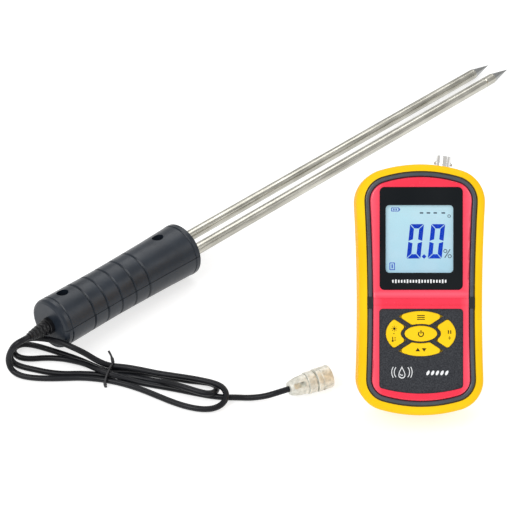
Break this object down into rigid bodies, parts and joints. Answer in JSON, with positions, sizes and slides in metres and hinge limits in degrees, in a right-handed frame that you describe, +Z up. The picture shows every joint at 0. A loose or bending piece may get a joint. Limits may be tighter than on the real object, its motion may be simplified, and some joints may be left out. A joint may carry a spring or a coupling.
{
  "type": "grain moisture meter with two-rod probe",
  "caption": "Handheld moisture meter in a yellow rubber boot with display, keypad and tilt stand, and a separate two-rod insertion probe on a tied lead ending in a bayonet plug.",
  "frame": {"origin": "on the table, under the middle of the meter and probe together, without the free lead", "axes": "+Z up; the meter faces -Y and up; +X to its right, with the probe lying on its left, rods pointing towards +X +Y"},
  "size_m": [0.3539, 0.4191, 0.1366],
  "materials": {
    "boot_yellow": "soft yellow rubber, fine matt grain",
    "case_black": "dark satin plastic",
    "face_red": "glossy red plastic",
    "window_clear": "tinted clear window",
    "lcd": "liquid crystal glass",
    "lcd_black": "black frame",
    "panel_grey": "fine textured dark grey",
    "key_yellow": "silicone rubber key",
    "mat_grey": "silicone rubber",
    "board_green": "circuit board",
    "chip_black": "moulded components",
    "screw_steel": "zinc plated steel",
    "cell_can": "wrapped dry cell",
    "contact_nickel": "nickel plated spring steel",
    "plug_nickel": "nickel plated brass",
    "insulator_white": "white polymer",
    "contact_gold": "gold plated",
    "handle_grey": "dark grey satin plastic",
    "rod_steel": "turned steel",
    "cord_black": "black flexible jacket",
    "tie_black": "plastic covered wire"
  },
  "bodies": {
    "meter": {"boot": "boot_yellow", "front_case": "case_black", "rear_case": "case_black", "case_screws": "screw_steel", "face_plate": "face_red", "display_window": "window_clear", "lcd_glass": "lcd", "lcd_backlight": "insulator_white", "lcd_frame": "lcd_black", "lcd_contact_strips": "mat_grey", "keypad_panel": "panel_grey", "key_mat": "mat_grey", "main_board": "board_green", "board_screws": "screw_steel", "board_chips": "chip_black", "buzzer": "chip_black", "battery_tray": "case_black", "battery_cells": "cell_can", "battery_contacts": "contact_nickel", "stand_pin": "screw_steel", "probe_socket": "plug_nickel", "socket_insulator": "insulator_white", "socket_contact": "contact_gold", "socket_nut": "plug_nickel"},
    "probe": {"handle_upper": "handle_grey", "handle_lower": "handle_grey", "handle_screws": "screw_steel", "rod_far": "rod_steel", "rod_near": "rod_steel", "rod_near_point": "rod_steel", "rod_block": "lcd_black", "rod_nuts": "screw_steel", "rod_tags": "contact_nickel", "signal_leads": "cord_black", "cable_relief": "cord_black", "cable_lead": "cord_black", "cable_hank": "cord_black", "cable_tail": "cord_black", "cable_tie": "tie_black", "plug_nut": "plug_nickel", "plug_body": "plug_nickel", "plug_insulator": "insulator_white", "plug_pin": "contact_gold"},
    "battery_door": {"battery_door": "case_black", "door_screw": "screw_steel"},
    "tilt_stand": {"tilt_stand": "case_black"},
    "plug_sleeve": {"plug_sleeve": "plug_nickel"},
    "set_key": {"set_key": "key_yellow"},
    "power_key": {"power_key": "key_yellow"},
    "select_key": {"select_key": "key_yellow"},
    "light_key": {"light_key": "key_yellow"},
    "hold_key": {"hold_key": "key_yellow"}
  },
  "joints": [
    {"name": "set_key_press", "type": "slide", "parent": "meter", "child": "set_key", "axis": [0, 0.7902, -0.6129], "range_m": [0, 0.0008], "stiffness_N_per_m": 500, "springref_m": -0.0002},
    {"name": "power_key_press", "type": "slide", "parent": "meter", "child": "power_key", "axis": [0, 0.7902, -0.6129], "range_m": [0, 0.0008], "stiffness_N_per_m": 500, "springref_m": -0.0002},
    {"name": "select_key_press", "type": "slide", "parent": "meter", "child": "select_key", "axis": [0, 0.7902, -0.6129], "range_m": [0, 0.0008], "stiffness_N_per_m": 500, "springref_m": -0.0002},
    {"name": "light_key_press", "type": "slide", "parent": "meter", "child": "light_key", "axis": [0, 0.7902, -0.6129], "range_m": [0, 0.0008], "stiffness_N_per_m": 500, "springref_m": -0.0002},
    {"name": "hold_key_press", "type": "slide", "parent": "meter", "child": "hold_key", "axis": [0, 0.7902, -0.6129], "range_m": [0, 0.0008], "stiffness_N_per_m": 500, "springref_m": -0.0002},
    {"name": "battery_door_out", "type": "slide", "parent": "meter", "child": "battery_door", "axis": [0, 0.7902, -0.6129], "range_m": [0, 0.015]},
    {"name": "tilt_stand_fold", "type": "hinge", "parent": "meter", "child": "tilt_stand", "pos_m": [0.0722, -0.12408, 0.07619], "axis": [1, 0, 0], "range_deg": [-45, 0]},
    {"name": "probe_lift", "type": "slide", "parent": "meter", "child": "probe", "axis": [0, 0, 1], "range_m": [0, 0.2]},
    {"name": "plug_sleeve_turn", "type": "hinge", "parent": "probe", "child": "plug_sleeve", "pos_m": [0.01377, -0.16186, 0.00725], "axis": [0.9033, 0.4289, 0], "continuous": true}
  ]
}
